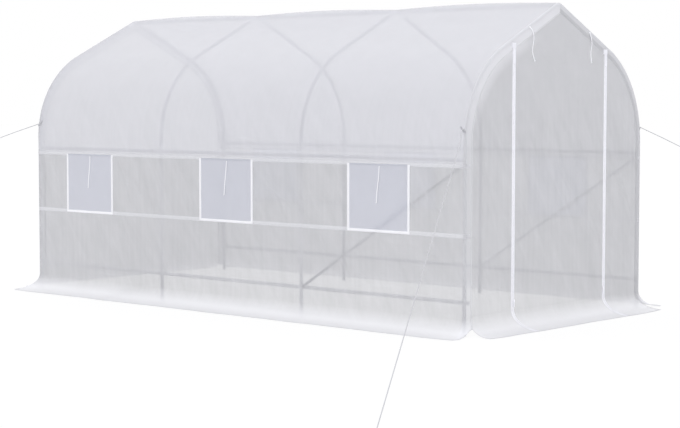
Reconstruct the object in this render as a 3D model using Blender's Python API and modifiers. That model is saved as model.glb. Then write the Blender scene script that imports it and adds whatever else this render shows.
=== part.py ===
"""Tunnel greenhouse: four steel hoops on legs, tied by rails, under a woven film cover.

Metres, +Z up. X runs along the tunnel with the door at +X, and Y runs across it.
The side at -Y is called near and the side at +Y is called far.
The origin is on the ground, at the middle of the cover's footprint.
"""
import math

import bmesh
import bpy
from mathutils import Vector

# Frame sizes, the halves measured from the middle to the end hoops and the legs
HALF_LENGTH = 2.0
BAY_COUNT = 3
HALF_WIDTH = 0.961
SHOULDER_HEIGHT = 1.14
SHOULDER_RADIUS = 0.66
BOW_FOOT = 0.04
RAFTER_PITCH = math.radians(26.2)
APEX_RADIUS = 0.05
SHOULDER_STEPS = 8
APEX_STEPS = 2
TUBE_RADIUS = 0.0125
BRACE_RADIUS = 0.0095
CROWN_ARM = 0.075
MID_RAIL_DROP = 0.042
BOTTOM_RAIL_HEIGHT = 0.1975
BRACE_TOP_DROP = 0.022
CLEARANCE = 0.0003

# Cover sizes
FILM_THICKNESS = 0.001
UPPER_BAND_DROP = 0.037
WINDOW_HEIGHT = 0.419
SKIRT_TOP = 0.115
SKIRT_REACH = 0.205
SKIRT_CORNER_RADIUS = 0.14
SKIRT_NOTCH_SHARE = 0.42
SKIRT_STEPS = 6
SKIRT_CORNER_SHARES = (0.04, 0.15, 0.36, 0.65, 1.0)
SMOOTH_ANGLE = math.radians(25)

# Window sizes, each window's shift measured from the middle of its bay
WINDOW_SHIFTS = (-0.087, -0.015, -0.001)
WINDOW_WIDTH = 0.51
WINDOW_BORDER = 0.018
SCREEN_RECESS = 0.0006
FLAP_BORDER_RISE = 0.0006
FLAP_OVERHANG = 0.010

# Door sizes
DOOR_WIDTH = 1.02
DOOR_CENTRE = 0.022
DOOR_HINGE_HEIGHT = 1.64
ZIP_TAPE_WIDTH = 0.016
ZIP_TAPE_RISE = 0.0008
SLIDER_WIDTH = 0.014
SLIDER_HEIGHT = 0.018
SLIDER_SHOULDER = 0.0126
SLIDER_DEPTH = 0.005
SLIDER_REST_HEIGHT = 0.165
PULL_WIDTH = 0.007
PULL_LENGTH = 0.030

# Cords and the ground peg
TIE_RADIUS = 0.003
TIE_DROP = 0.232
TIE_TOP_GAP = 0.014
TIE_SLANT = -0.024
ROPE_RADIUS = 0.0028
ROPE_ANCHOR_RISE = 0.095
ROPE_ANCHOR_INSET = 0.010
ROPE_TURN_STEP = 0.005
ROPE_PEG_HEIGHT = 0.022
PEG_PLACE = (3.760, -3.860)
PEG_RADIUS = 0.004
PEG_HEIGHT = 0.055
PEG_HOOK_RADIUS = 0.014
PEG_HOOK_STEPS = 6

# How finely round bars and cords are drawn
BAR_RESOLUTION = 4
CORD_RESOLUTION = 2
ROUTE_STEPS = 20
WINDOW_TIE_POINTS = 14
DOOR_TIE_POINTS = 16
LONG_ROPE_POINTS = 68
SHORT_ROPE_POINTS = 24

# Sizes that follow from those above
FILM_OFFSET = TUBE_RADIUS + CLEARANCE
BAY_LENGTH = 2 * HALF_LENGTH / BAY_COUNT
HOOP_X = [BAY_LENGTH * k - HALF_LENGTH for k in range(BAY_COUNT + 1)]
BAY_MIDDLES = [(start + end) / 2 for start, end in zip(HOOP_X, HOOP_X[1:])]
WINDOW_CENTRES = [middle + shift for middle, shift in zip(BAY_MIDDLES, WINDOW_SHIFTS)]
LEG_TOP = SHOULDER_HEIGHT - BOW_FOOT
MID_RAIL_HEIGHT = LEG_TOP - MID_RAIL_DROP
UPPER_BAND_HEIGHT = MID_RAIL_HEIGHT - UPPER_BAND_DROP
LOWER_BAND_HEIGHT = UPPER_BAND_HEIGHT - WINDOW_HEIGHT
ROPE_ANCHOR_HEIGHT = SHOULDER_HEIGHT + ROPE_ANCHOR_RISE
SHOULDER_CENTRE = HALF_WIDTH - SHOULDER_RADIUS
RAFTER_FOOT_Y = SHOULDER_CENTRE + SHOULDER_RADIUS * math.sin(RAFTER_PITCH)
RAFTER_FOOT_Z = SHOULDER_HEIGHT + SHOULDER_RADIUS * math.cos(RAFTER_PITCH)
RAFTER_MEETING = RAFTER_FOOT_Z + RAFTER_FOOT_Y * math.tan(RAFTER_PITCH)
APEX_CENTRE = RAFTER_MEETING - APEX_RADIUS / math.cos(RAFTER_PITCH)
RIDGE_HEIGHT = APEX_CENTRE + APEX_RADIUS
GABLE_INNER_X = HALF_LENGTH + FILM_OFFSET
GABLE_OUTER_X = GABLE_INNER_X + FILM_THICKNESS
WALL_INNER_Y = HALF_WIDTH + FILM_OFFSET
WALL_OUTER_Y = WALL_INNER_Y + FILM_THICKNESS
DOOR_EDGES = (DOOR_CENTRE - DOOR_WIDTH / 2, DOOR_CENTRE + DOOR_WIDTH / 2)
DOOR_AXIS_X = GABLE_OUTER_X + ZIP_TAPE_RISE
FLAP_INNER_Y = WALL_OUTER_Y + SCREEN_RECESS + CLEARANCE
FLAP_AXIS_Y = FLAP_INNER_Y + FLAP_BORDER_RISE + FILM_THICKNESS
SIDES = (("near", -1), ("far", 1))

parts = None


def clear_scene():
    for obj in list(bpy.data.objects):
        bpy.data.objects.remove(obj, do_unlink=True)


def make_collection(name):
    collection = bpy.data.collections.new(name)
    bpy.context.scene.collection.children.link(collection)
    return collection


def material(name, colour, roughness, metallic=0.0):
    made = bpy.data.materials.new(name)
    made.use_nodes = True
    shader = made.node_tree.nodes["Principled BSDF"]
    shader.inputs["Base Color"].default_value = (*colour, 1.0)
    shader.inputs["Roughness"].default_value = roughness
    shader.inputs["Metallic"].default_value = metallic
    return made


def add_part(obj, paint):
    obj.data.materials.clear()
    obj.data.materials.append(paint)
    parts.objects.link(obj)
    return obj


def rod(name, points, radius, paint, resolution=BAR_RESOLUTION):
    """A round bar along the points, closed at both ends."""
    curve = bpy.data.curves.new(name, "CURVE")
    curve.dimensions = "3D"
    curve.bevel_depth = radius
    curve.bevel_resolution = resolution
    curve.use_fill_caps = True
    curve.render_resolution_u = 0
    spline = curve.splines.new("POLY")
    spline.points.add(len(points) - 1)
    for point, place in zip(spline.points, points):
        point.co = (*place, 1.0)
    spline.use_smooth = True
    return add_part(bpy.data.objects.new(name, curve), paint)


# The hoop's outline, at any distance outside its centre line
def shoulder_points(offset):
    """Places (y, z) up the bent shoulder, from the leg to the rafter."""
    radius = SHOULDER_RADIUS + offset
    points = []
    for step in range(SHOULDER_STEPS + 1):
        turn = (math.pi / 2 - RAFTER_PITCH) * step / SHOULDER_STEPS
        y = SHOULDER_CENTRE + radius * math.cos(turn)
        z = SHOULDER_HEIGHT + radius * math.sin(turn)
        points.append((y, z))
    return points


def apex_points(offset):
    """Places (y, z) round the apex, from the rafter at positive y to the middle."""
    radius = APEX_RADIUS + offset
    points = []
    for step in range(APEX_STEPS + 1):
        turn = RAFTER_PITCH * (1 - step / APEX_STEPS)
        points.append((radius * math.sin(turn), APEX_CENTRE + radius * math.cos(turn)))
    return points


def arch_height(y, offset):
    """Height of the hoop's outline over a place across the tunnel."""
    y = abs(y)
    outline = shoulder_points(offset) + apex_points(offset)
    for (outer_y, low_z), (inner_y, high_z) in zip(outline, outline[1:]):
        if inner_y <= y <= outer_y:
            return high_z + (low_z - high_z) * (y - inner_y) / (outer_y - inner_y)
    return SHOULDER_HEIGHT


def arch_reach(z, offset):
    """Distance of the hoop's outline from the middle at a height on the shoulder."""
    outline = shoulder_points(offset)
    for (low_y, low_z), (high_y, high_z) in zip(outline, outline[1:]):
        if low_z <= z <= high_z:
            return low_y + (high_y - low_y) * (z - low_z) / (high_z - low_z)
    return HALF_WIDTH + offset


def crown_end(extra=0.0):
    """The place (y, z) on a rafter where the crown fitting's arm ends."""
    reach = CROWN_ARM + extra
    start_y, start_z = apex_points(0.0)[0]
    return start_y + reach * math.cos(RAFTER_PITCH), start_z - reach * math.sin(RAFTER_PITCH)


# Frame
def build_legs(steel):
    for label, side in SIDES:
        for index, x in enumerate(HOOP_X, start=1):
            y = side * HALF_WIDTH
            rod(f"leg_{label}_{index}", [(x, y, 0), (x, y, LEG_TOP - CLEARANCE)], TUBE_RADIUS, steel)


def build_bows(steel):
    outline = [(HALF_WIDTH, LEG_TOP)] + shoulder_points(0.0) + [crown_end(CLEARANCE)]
    for label, side in SIDES:
        for index, x in enumerate(HOOP_X, start=1):
            points = [(x, side * y, z) for y, z in outline]
            rod(f"bow_{label}_{index}", points, TUBE_RADIUS, steel)


def build_crowns(fitting):
    arm = [crown_end()] + apex_points(0.0)
    outline = arm + [(-y, z) for y, z in reversed(arm[:-1])]
    for index, x in enumerate(HOOP_X, start=1):
        rod(f"crown_fitting_{index}", [(x, y, z) for y, z in outline], TUBE_RADIUS, fitting)


def build_rails(steel):
    inset = TUBE_RADIUS + CLEARANCE
    for bay in range(BAY_COUNT):
        start = HOOP_X[bay] + inset
        end = HOOP_X[bay + 1] - inset
        rod(f"ridge_tube_{bay + 1}", [(start, 0, RIDGE_HEIGHT), (end, 0, RIDGE_HEIGHT)], TUBE_RADIUS, steel)
        for label, side in SIDES:
            y = side * HALF_WIDTH
            ends = [(start, y, MID_RAIL_HEIGHT), (end, y, MID_RAIL_HEIGHT)]
            rod(f"mid_rail_{label}_{bay + 1}", ends, TUBE_RADIUS, steel)
    for label, side in SIDES:
        y = side * (HALF_WIDTH - 2 * TUBE_RADIUS - CLEARANCE)
        reach = HALF_LENGTH + TUBE_RADIUS
        ends = [(-reach, y, BOTTOM_RAIL_HEIGHT), (reach, y, BOTTOM_RAIL_HEIGHT)]
        rod(f"bottom_rail_{label}", ends, TUBE_RADIUS, steel)


def build_braces(steel):
    """Diagonals in the front bay, from the bottom rail's height up to the front leg."""
    low = Vector((HOOP_X[-2], BOTTOM_RAIL_HEIGHT))
    high = Vector((HOOP_X[-1], MID_RAIL_HEIGHT - BRACE_TOP_DROP))
    along = (high - low).normalized()
    trim = (TUBE_RADIUS + CLEARANCE + BRACE_RADIUS * along.y) / along.x
    start = low + along * trim
    end = high - along * trim
    for label, side in SIDES:
        y = side * HALF_WIDTH
        rod(f"brace_{label}", [(start.x, y, start.y), (end.x, y, end.y)], BRACE_RADIUS, steel)


# Film sheets
def film(name, columns, paint, flip=False, keep=None):
    """A sheet through columns of places, thickened outwards.

    keep(column, row) says which squares of the grid are kept.
    """
    mesh = bpy.data.meshes.new(name)
    grid = bmesh.new()
    corners = [[grid.verts.new(place) for place in column] for column in columns]
    for i in range(len(columns) - 1):
        for j in range(len(columns[0]) - 1):
            if keep is None or keep(i, j):
                square = [corners[i][j], corners[i][j + 1], corners[i + 1][j + 1], corners[i + 1][j]]
                grid.faces.new(square[::-1] if flip else square)
    bmesh.ops.delete(grid, geom=[v for v in grid.verts if not v.link_faces], context="VERTS")
    grid.to_mesh(mesh)
    grid.free()
    mesh.shade_smooth()
    mesh.set_sharp_from_angle(angle=SMOOTH_ANGLE)
    obj = bpy.data.objects.new(name, mesh)
    solid = obj.modifiers.new("thickness", "SOLIDIFY")
    solid.thickness = FILM_THICKNESS
    solid.offset = 1.0
    return add_part(obj, paint)


def skirt_share(place, low, high):
    """How much of the skirt is there, rounded away towards the corners of the cover."""
    from_end = max(0.0, min(place - low, high - place))
    near_end = min(1.0, from_end / SKIRT_CORNER_RADIUS)
    round_off = math.sqrt(1 - (1 - near_end) ** 2)
    return SKIRT_NOTCH_SHARE + (1 - SKIRT_NOTCH_SHARE) * round_off


def skirt_profile(share):
    """Places (outward, z) of the skirt's inner face, from the wall down to the ground."""
    points = []
    for step in range(1, SKIRT_STEPS + 1):
        turn = math.pi / 2 * share * step / SKIRT_STEPS
        points.append((SKIRT_REACH * (1 - math.cos(turn)), CLEARANCE + SKIRT_TOP * (1 - math.sin(turn))))
    return points


def corner_places(low, high):
    """Places along a skirt's rounded corners, at both of its ends."""
    places = [low, high]
    for share in SKIRT_CORNER_SHARES:
        places.append(low + SKIRT_CORNER_RADIUS * share)
        places.append(high - SKIRT_CORNER_RADIUS * share)
    return places


def stepped(low, high, border):
    """A recess's four lines: its outer and inner edges on both sides."""
    return [low, low + border, high - border, high]


def build_walls(paint):
    """Long walls up to the upper band, each with three screens let into it."""
    half = GABLE_OUTER_X
    half_window = WINDOW_WIDTH / 2 - WINDOW_BORDER
    edge = 2 * SCREEN_RECESS
    xs = corner_places(-half, half)
    for centre in WINDOW_CENTRES:
        xs += stepped(centre - half_window - edge, centre + half_window + edge, edge)
    xs.sort()
    screen_low = LOWER_BAND_HEIGHT + WINDOW_BORDER
    screen_high = UPPER_BAND_HEIGHT - WINDOW_BORDER
    screen_lines = stepped(screen_low - edge, screen_high + edge, edge)
    zs = [UPPER_BAND_HEIGHT - CLEARANCE / 2, *reversed(screen_lines), SKIRT_TOP]

    def in_screen(x, z):
        over = any(abs(x - centre) <= half_window + CLEARANCE for centre in WINDOW_CENTRES)
        return over and screen_low - CLEARANCE <= z <= screen_high + CLEARANCE

    for label, side in SIDES:
        columns = []
        for x in xs:
            column = []
            for z in zs:
                recess = SCREEN_RECESS if in_screen(x, z) else 0.0
                column.append((x, side * (WALL_INNER_Y + SCREEN_RECESS - recess), z))
            for out, z in skirt_profile(skirt_share(x, -half, half)):
                column.append((x, side * (WALL_INNER_Y + SCREEN_RECESS + out), z))
            columns.append(column)
        film(f"wall_{label}", columns, paint, flip=side > 0)


def build_roof(paint):
    """One sheet from the upper band on one side, over the hoops, to the other side."""
    half = [(WALL_INNER_Y, UPPER_BAND_HEIGHT + CLEARANCE / 2)]
    half += shoulder_points(FILM_OFFSET)
    half += apex_points(FILM_OFFSET)
    outline = half + [(-y, z) for y, z in reversed(half[:-1])]
    columns = [[(x, y, z) for y, z in outline] for x in (-GABLE_OUTER_X, *HOOP_X[1:-1], GABLE_OUTER_X)]
    film("roof_sheet", columns, paint)


def gable_places():
    """Places across a gable, closer together round the shoulders and the apex."""
    ys = [0.0]
    for y, _ in shoulder_points(TUBE_RADIUS) + apex_points(TUBE_RADIUS)[:-1]:
        ys += [y, -y]
    return ys


def gable_column(x, facing, y, half, split_drop):
    """Places down a gable: its top, a fold line, the skirt's top and the skirt."""
    top = arch_height(y, TUBE_RADIUS)
    column = [(x, y, top), (x, y, top - split_drop), (x, y, SKIRT_TOP)]
    for out, z in skirt_profile(skirt_share(y, -half, half)):
        column.append((x + facing * out, y, z))
    return column


def build_back_gable(paint):
    half = HALF_WIDTH + TUBE_RADIUS
    ys = sorted(gable_places() + corner_places(-half, half)[2:])
    columns = [gable_column(-GABLE_INNER_X, -1, y, half, SHOULDER_HEIGHT / 2) for y in ys]
    film("gable_back", columns, paint, flip=True)


def build_front_gable(paint):
    """The front gable round the doorway: a panel at each side and a header above."""
    half = HALF_WIDTH + TUBE_RADIUS
    ys = sorted(gable_places() + corner_places(-half, half)[2:] + list(DOOR_EDGES))
    edge_tops = [arch_height(y, TUBE_RADIUS) for y in DOOR_EDGES]
    columns = []
    for y in ys:
        if DOOR_EDGES[0] <= y <= DOOR_EDGES[1]:
            drop = arch_height(y, TUBE_RADIUS) - DOOR_HINGE_HEIGHT
        else:
            drop = edge_tops[0 if y < DOOR_CENTRE else 1] - DOOR_HINGE_HEIGHT
        columns.append(gable_column(GABLE_INNER_X, 1, y, half, drop))

    def outside_door(i, j):
        middle = (ys[i] + ys[i + 1]) / 2
        return j == 0 or not DOOR_EDGES[0] < middle < DOOR_EDGES[1]

    film("gable_front", columns, paint, keep=outside_door)


def build_door(paint):
    """The door panel with its zip tapes, hung from the line where it rolls up."""
    low = DOOR_EDGES[0] + CLEARANCE
    high = DOOR_EDGES[1] - CLEARANCE
    slope = 2 * ZIP_TAPE_RISE
    ys = [low, low + ZIP_TAPE_WIDTH, low + ZIP_TAPE_WIDTH + slope]
    ys += [high - ZIP_TAPE_WIDTH - slope, high - ZIP_TAPE_WIDTH, high]
    top = DOOR_HINGE_HEIGHT - CLEARANCE
    tape = -FILM_THICKNESS
    panel = tape - ZIP_TAPE_RISE
    columns = []
    for index, y in enumerate(ys):
        face = tape if index in (0, 1, 4, 5) else panel
        column = [(face, y, 0.0), (face, y, SKIRT_TOP - top)]
        for out, z in skirt_profile(1.0):
            column.append((face + out, y, z - top))
        columns.append(column)
    door = film("door_panel", columns, paint)
    door.location = (DOOR_AXIS_X, 0, top)


def build_sliders(metal):
    """A slider on each zip, at the foot of the door, with its pull tab below it."""
    back = DOOR_AXIS_X + CLEARANCE
    half = SLIDER_WIDTH / 2
    pull = PULL_WIDTH / 2
    outline = [(-half, 0), (-pull, 0), (-pull, -PULL_LENGTH), (pull, -PULL_LENGTH), (pull, 0), (half, 0)]
    outline += [(half, SLIDER_SHOULDER), (pull, SLIDER_HEIGHT), (-pull, SLIDER_HEIGHT)]
    outline += [(-half, SLIDER_SHOULDER)]
    for label, side in SIDES:
        curve = bpy.data.curves.new(f"zip_slider_{label}", "CURVE")
        curve.dimensions = "2D"
        curve.fill_mode = "BOTH"
        curve.extrude = SLIDER_DEPTH / 2
        curve.render_resolution_u = 0
        spline = curve.splines.new("POLY")
        spline.points.add(len(outline) - 1)
        for point, (u, v) in zip(spline.points, outline):
            point.co = (u, v, 0.0, 1.0)
        spline.use_cyclic_u = True
        edge = DOOR_EDGES[0 if side < 0 else 1] - side * ZIP_TAPE_WIDTH / 2
        slider = add_part(bpy.data.objects.new(f"zip_slider_{label}", curve), metal)
        slider.location = (back + SLIDER_DEPTH / 2, edge, SLIDER_REST_HEIGHT)
        slider.rotation_euler = (math.pi / 2, 0, math.pi / 2)


def build_flaps(paint):
    """Window flaps, each a pane with a raised border, hung from the upper band."""
    half = WINDOW_WIDTH / 2
    slope = 2 * FLAP_BORDER_RISE
    height = UPPER_BAND_HEIGHT - LOWER_BAND_HEIGHT + FLAP_OVERHANG
    us = stepped(-half, half, WINDOW_BORDER)
    us = [us[0], us[1], us[1] + slope, us[2] - slope, us[2], us[3]]
    vs = stepped(-height, 0.0, WINDOW_BORDER)
    vs = [vs[3], vs[2], vs[2] - slope, vs[1] + slope, vs[1], vs[0]]
    border = -FILM_THICKNESS
    pane = border - FLAP_BORDER_RISE
    for label, side in SIDES:
        for index, centre in enumerate(WINDOW_CENTRES, start=1):
            columns = []
            for i, u in enumerate(us):
                faces = [pane if i in (2, 3) and j in (2, 3) else border for j in range(len(vs))]
                columns.append([(u, side * face, v) for face, v in zip(faces, vs)])
            flap = film(f"window_flap_{label}_{index}", columns, paint, flip=side > 0)
            flap.location = (centre, side * FLAP_AXIS_Y, UPPER_BAND_HEIGHT - CLEARANCE)


# Cords
def smooth_route(points, count):
    """Even places on a smooth curve through a route's own points."""
    route = [Vector(point) for point in points]
    route = [2 * route[0] - route[1]] + route + [2 * route[-1] - route[-2]]
    fine = []
    for a, b, c, d in zip(route, route[1:], route[2:], route[3:]):
        for step in range(ROUTE_STEPS):
            t = step / ROUTE_STEPS
            bend = 2 * a - 5 * b + 4 * c - d
            twist = 3 * b - a - 3 * c + d
            fine.append((2 * b + (c - a) * t + bend * t * t + twist * t ** 3) / 2)
    fine.append(route[-2])
    travelled = [0.0]
    for start, end in zip(fine, fine[1:]):
        travelled.append(travelled[-1] + (end - start).length)
    places = []
    segment = 0
    for k in range(count):
        goal = travelled[-1] * k / (count - 1)
        while segment < len(fine) - 2 and travelled[segment + 1] < goal:
            segment += 1
        span = travelled[segment + 1] - travelled[segment]
        places.append(fine[segment].lerp(fine[segment + 1], (goal - travelled[segment]) / span))
    return places


def cord(name, points, radius, paint, count):
    return rod(name, smooth_route(points, count), radius, paint, CORD_RESOLUTION)


def build_window_ties(paint):
    """A tie that hangs over each window flap from just under the upper band."""
    y = FLAP_AXIS_Y + CLEARANCE + TIE_RADIUS
    top = UPPER_BAND_HEIGHT - TIE_TOP_GAP
    for label, side in SIDES:
        for index, centre in enumerate(WINDOW_CENTRES, start=1):
            x = centre + TIE_TOP_GAP
            route = [
                (x, side * y, top),
                (x + TIE_SLANT * 0.2, side * y, top - TIE_DROP * 0.3),
                (x + TIE_SLANT * 0.7, side * y, top - TIE_DROP * 0.65),
                (x + TIE_SLANT, side * y, top - TIE_DROP),
            ]
            cord(f"window_tie_{label}_{index}", route, TIE_RADIUS, paint, WINDOW_TIE_POINTS)


def build_door_ties(paint):
    """Two ties that hang over the header from the roof's front edge."""
    x = GABLE_OUTER_X + CLEARANCE + TIE_RADIUS
    routes = {
        "near": [(-0.329, 1.868), (-0.302, 1.845), (-0.288, 1.798), (-0.301, 1.720), (-0.276, 1.655)],
        "far": [(0.337, 1.850), (0.352, 1.820), (0.361, 1.780), (0.350, 1.720), (0.359, 1.655)],
    }
    for label, route in routes.items():
        places = [(x, y, z) for y, z in route]
        cord(f"door_tie_{label}", places, TIE_RADIUS, paint, DOOR_TIE_POINTS)


def rope_exit(end, side, goal):
    """Places where a rope leaves the cover's shoulder: straight out, then round towards its goal."""
    x = end * (HALF_LENGTH - ROPE_ANCHOR_INSET)
    film_face = arch_reach(ROPE_ANCHOR_HEIGHT - ROPE_RADIUS, FILM_OFFSET + FILM_THICKNESS)
    place = Vector((x, side * (film_face + CLEARANCE), ROPE_ANCHOR_HEIGHT))
    straight_out = Vector((0, side, 0))
    towards = (Vector(goal) - place).normalized()
    places = [place]
    for share in (0.0, 0.25, 0.5, 0.75, 1.0):
        heading = straight_out.lerp(towards, share).normalized()
        places.append(places[-1] + heading * ROPE_TURN_STEP)
    return places


def peg_heading():
    """The level direction from the near front rope's exit to the peg."""
    start = rope_exit(1, -1, (*PEG_PLACE, 0.0))[0]
    return (Vector(PEG_PLACE) - start.xy).normalized()


def build_guy_ropes(paint):
    """Three guy ropes: the whole of one, to its peg, and the start of two more."""
    run = Vector(PEG_PLACE).length - HALF_LENGTH
    descent = math.atan2(ROPE_ANCHOR_HEIGHT, run)
    seat = PEG_RADIUS + CLEARANCE + ROPE_RADIUS * math.sin(descent)
    peg_side = Vector(PEG_PLACE) - peg_heading() * seat
    near_front = [(2.140, -1.206, 1.135), (2.562, -1.897, 0.838), (2.983, -2.588, 0.546)]
    near_front += [(3.405, -3.279, 0.260), (*peg_side, ROPE_PEG_HEIGHT)]
    near_back = [(-2.080, -1.114, 1.180), (-2.150, -1.228, 1.131), (-2.215, -1.335, 1.085)]
    far_front = [(2.080, 1.114, 1.165), (2.150, 1.228, 1.105), (2.222, 1.346, 1.041)]
    ropes = [
        ("near_front", 1, -1, near_front, LONG_ROPE_POINTS),
        ("near_back", -1, -1, near_back, SHORT_ROPE_POINTS),
        ("far_front", 1, 1, far_front, SHORT_ROPE_POINTS),
    ]
    for label, end, side, route, count in ropes:
        lead = rope_exit(end, side, route[0])
        places = lead[:-1] + smooth_route([lead[-1]] + route, count)
        rod(f"guy_rope_{label}", places, ROPE_RADIUS, paint, CORD_RESOLUTION)


def build_peg(metal):
    """The hooked head of the ground peg, cut off level with the ground."""
    foot = Vector((*PEG_PLACE, 0.0))
    heading = peg_heading().to_3d()
    straight = Vector((0, 0, PEG_HEIGHT - PEG_HOOK_RADIUS))
    points = [foot, foot + straight]
    for step in range(1, PEG_HOOK_STEPS + 1):
        turn = math.pi * step / PEG_HOOK_STEPS
        across = heading * PEG_HOOK_RADIUS * (1 - math.cos(turn))
        points.append(foot + straight + across + Vector((0, 0, PEG_HOOK_RADIUS * math.sin(turn))))
    rod("ground_peg", points, PEG_RADIUS, metal, CORD_RESOLUTION)


def main():
    global parts
    clear_scene()
    parts = make_collection("tunnel_greenhouse")
    steel = material("galvanised_tube", (0.55, 0.56, 0.58), 0.45, 0.6)
    fitting = material("crown_steel", (0.50, 0.51, 0.53), 0.5, 0.6)
    cover = material("woven_film", (0.80, 0.80, 0.83), 0.45)
    pane = material("window_film", (0.68, 0.70, 0.76), 0.4)
    cloth = material("white_cord", (0.90, 0.90, 0.91), 0.8)
    metal = material("zinc_plate", (0.60, 0.61, 0.62), 0.35, 1.0)
    build_legs(steel)
    build_bows(steel)
    build_crowns(fitting)
    build_rails(steel)
    build_braces(steel)
    build_walls(cover)
    build_roof(cover)
    build_back_gable(cover)
    build_front_gable(cover)
    build_door(cover)
    build_sliders(metal)
    build_flaps(pane)
    build_window_ties(cloth)
    build_door_ties(cloth)
    build_guy_ropes(cloth)
    build_peg(metal)


main()
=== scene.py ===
"""Looks of a tunnel greenhouse: woven film stretched over steel hoops, on a white studio floor.

Metres, +Z up. The tunnel runs along X with its door at +X, and Y runs across it.
The side at -Y is called near and the side at +Y is called far.
"""
import math

import bpy
import numpy as np
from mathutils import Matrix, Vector


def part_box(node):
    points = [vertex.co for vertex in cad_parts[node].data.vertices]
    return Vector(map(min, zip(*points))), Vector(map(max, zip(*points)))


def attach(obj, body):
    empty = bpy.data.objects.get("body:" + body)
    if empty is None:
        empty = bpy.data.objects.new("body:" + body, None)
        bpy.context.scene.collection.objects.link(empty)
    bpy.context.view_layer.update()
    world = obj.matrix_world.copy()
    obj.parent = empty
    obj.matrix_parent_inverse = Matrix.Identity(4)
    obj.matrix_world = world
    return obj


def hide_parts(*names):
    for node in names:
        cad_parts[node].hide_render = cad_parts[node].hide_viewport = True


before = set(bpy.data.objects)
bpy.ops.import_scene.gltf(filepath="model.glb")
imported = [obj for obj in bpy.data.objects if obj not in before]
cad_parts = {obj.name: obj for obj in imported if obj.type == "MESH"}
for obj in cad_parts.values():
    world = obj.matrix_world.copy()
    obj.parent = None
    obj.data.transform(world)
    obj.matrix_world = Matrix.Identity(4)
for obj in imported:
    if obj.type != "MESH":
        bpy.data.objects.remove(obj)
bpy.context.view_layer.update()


def middle(node):
    low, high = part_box(node)
    return (low + high) / 2


# Sizes of the frame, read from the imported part
HOOP_COUNT = 4
WINDOW_COUNT = 3
SIDES = (("near", -1), ("far", 1))
ENDS = (("back", -1), ("front", 1))
HOOP_X = [middle(f"leg_near_{k}").x for k in range(1, HOOP_COUNT + 1)]
HALF_LENGTH = HOOP_X[-1]
HALF_WIDTH = middle("leg_far_1").y
LEG_LOW, LEG_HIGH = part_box("leg_far_1")
TUBE_RADIUS = (LEG_HIGH.y - LEG_LOW.y) / 2
RIDGE_HEIGHT = middle("ridge_tube_1").z
MID_RAIL_HEIGHT = middle("mid_rail_near_1").z
BAND_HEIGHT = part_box("roof_sheet")[0].z
WINDOW_CENTRES = [middle(f"window_flap_near_{k}").x for k in range(1, WINDOW_COUNT + 1)]
DOOR_LOW, DOOR_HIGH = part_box("door_panel")
DOOR_EDGES = (DOOR_LOW.y, DOOR_HIGH.y)
DOOR_TOP = DOOR_HIGH.z
FLAP_LOW, FLAP_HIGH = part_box("window_flap_far_1")
FLAP_HALF = (FLAP_HIGH.x - FLAP_LOW.x) / 2

# Shape of the hoops, as the part bends them
SHOULDER_HEIGHT = 1.14
SHOULDER_RADIUS = 0.66
RAFTER_PITCH = math.radians(26.2)
APEX_RADIUS = 0.05
SHOULDER_CENTRE = HALF_WIDTH - SHOULDER_RADIUS
APEX_CENTRE = RIDGE_HEIGHT - APEX_RADIUS

# Sizes of the cover
FILM_OFFSET = 0.0133
CORNER_ARC = FILM_OFFSET * math.pi / 2
FILM_STEP = 0.014
GABLE_FILM_X = HALF_LENGTH + FILM_OFFSET
EDGE_BAND_WIDTH = 0.050
BAND_START = -0.001
GABLE_LIMIT = HALF_WIDTH - EDGE_BAND_WIDTH
GABLE_RADIUS = SHOULDER_RADIUS - EDGE_BAND_WIDTH
RAFTER_FOOT_Y = SHOULDER_CENTRE + GABLE_RADIUS * math.sin(RAFTER_PITCH)
RAFTER_FOOT_Z = SHOULDER_HEIGHT + GABLE_RADIUS * math.cos(RAFTER_PITCH)
# Width of the painted light along the front gable's near shoulder
PAINTED_RIM_LIGHT_REACH = 0.075
RIDGE_BULGE = 0.016
WAVE_COUNT = 9
WAVE_LENGTHS = (0.16, 1.1)
HOOP_QUIET = (0.016, 0.10)

# Tapes and seams of the cover
SEAM = CORNER_ARC + EDGE_BAND_WIDTH
SEAM_WIDTH = 0.010
SEAM_SHARES = (-0.4, -0.3, 0.1, 0.5, 0.6)
# Painted shade: the front gable's far seam, widened over the band's inner part to darken it
SHADED_SEAM_SHARES = (-2.8, -2.7, -1.4, -0.2, -0.1)
LOWER_BAND_HEIGHT = 0.602
UPPER_BAND_WIDTH = 0.024
LOWER_BAND_WIDTH = 0.027
BAND_REACH = HALF_LENGTH + SEAM - 0.014
TAPE_LIFT = 0.0011
TAPE_OVERLAP = 0.002
ZIP_TAPE_WIDTH = 0.0165
ZIP_GAP = 0.0016
UNDER_ZIP = ZIP_TAPE_WIDTH - 0.003
ZIP_LIFT = 0.0010
ZIP_RISE = 0.024
ZIP_HEAD_LIFT = 0.0024
ZIP_CAP_HALF = 0.016
ZIP_CAP_OVERHANG = 0.012
ZIP_CAP_LIFT = 0.0040
TOOTH_PITCH = 0.0065
TOOTH_SHIFT = 0.0011
TOOTH_LIFT = 0.0012
TOOTH_HALF_SIZES = (0.0009, 0.0010, 0.0019)

# Skirt along the ground, with its notch at each corner and its folded hem
SKIRT_TOP = 0.115
SKIRT_REACH = 0.205
SKIRT_LENGTH = 0.26
SKIRT_FOOT = 0.0014
SKIRT_CORNER = (0.075, 0.035)
SKIRT_NOTCH_SHARE = 0.45
SKIRT_PARTS = np.linspace(0, 1, 15)
SKIRT_TURNS = ((-0.12, -0.02, 0.0, SEAM - 0.02, SEAM, SEAM + 0.03, SEAM + 0.09, 0.24),
               (0.0, 0.20, 0.36, 0.62, 0.80, 1.12, 1.38, math.pi / 2))
HEM_PARTS = np.array([0.95, 0.96, 0.996, 1.0])
HEM_LIFTS = np.array([0.0003, 0.0014, 0.0014, 0.0002])
HEM_MAP_LENGTH = 0.24
HEM_RIPPLE = 0.0032

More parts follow.
